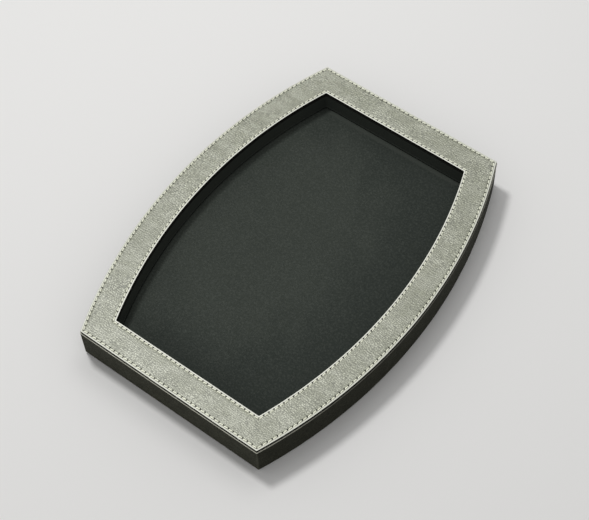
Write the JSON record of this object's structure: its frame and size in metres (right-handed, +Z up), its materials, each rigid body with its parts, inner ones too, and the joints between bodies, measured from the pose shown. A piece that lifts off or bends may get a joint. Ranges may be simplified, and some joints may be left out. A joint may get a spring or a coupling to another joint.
{
  "type": "jewelry tray",
  "caption": "Shallow leather-covered jewelry tray with straight ends, bowed sides, a flat stitched rim and a suede-lined recess for laying out bangles, rings and chains.",
  "frame": {"origin": "middle of the underside, on the surface that the tray stands on", "axes": "+Y along the tray's length, +X across it, +Z up"},
  "size_m": [0.221, 0.3, 0.0312],
  "materials": {
    "rim_leather": "pale grey-green leather with a fine pebble grain",
    "rim_backing": "pale cream leather with a cut edge",
    "stiffener_board": "dark board with an inked edge",
    "wall_leather": "dark olive leather with a fine pebble grain",
    "suede": "dark green-grey suede with a short nap",
    "thread": "waxed cream thread",
    "fibreboard": "sanded fibreboard",
    "spline_wood": "birch plywood",
    "brad_steel": "bright drawn steel",
    "foam": "fine open-cell foam",
    "card": "grey board",
    "felt": "dense dark felt"
  },
  "bodies": {
    "root": {"base_board": "fibreboard", "near_end_rail": "fibreboard", "far_end_rail": "fibreboard", "left_side_rail": "fibreboard", "right_side_rail": "fibreboard", "corner_splines": "spline_wood", "base_brads": "brad_steel", "near_end_leather": "wall_leather", "far_end_leather": "wall_leather", "left_side_leather": "wall_leather", "right_side_leather": "wall_leather", "near_end_lining": "suede", "far_end_lining": "suede", "left_side_lining": "suede", "right_side_lining": "suede", "rim_leather": "rim_leather", "rim_stiffener": "stiffener_board", "rim_backing": "rim_backing", "outer_stitching": "thread", "inner_stitching": "thread", "pad_cover": "suede", "pad_foam": "foam", "pad_board": "card", "underside_card": "card", "underside_felt": "felt"}
  },
  "joints": []
}
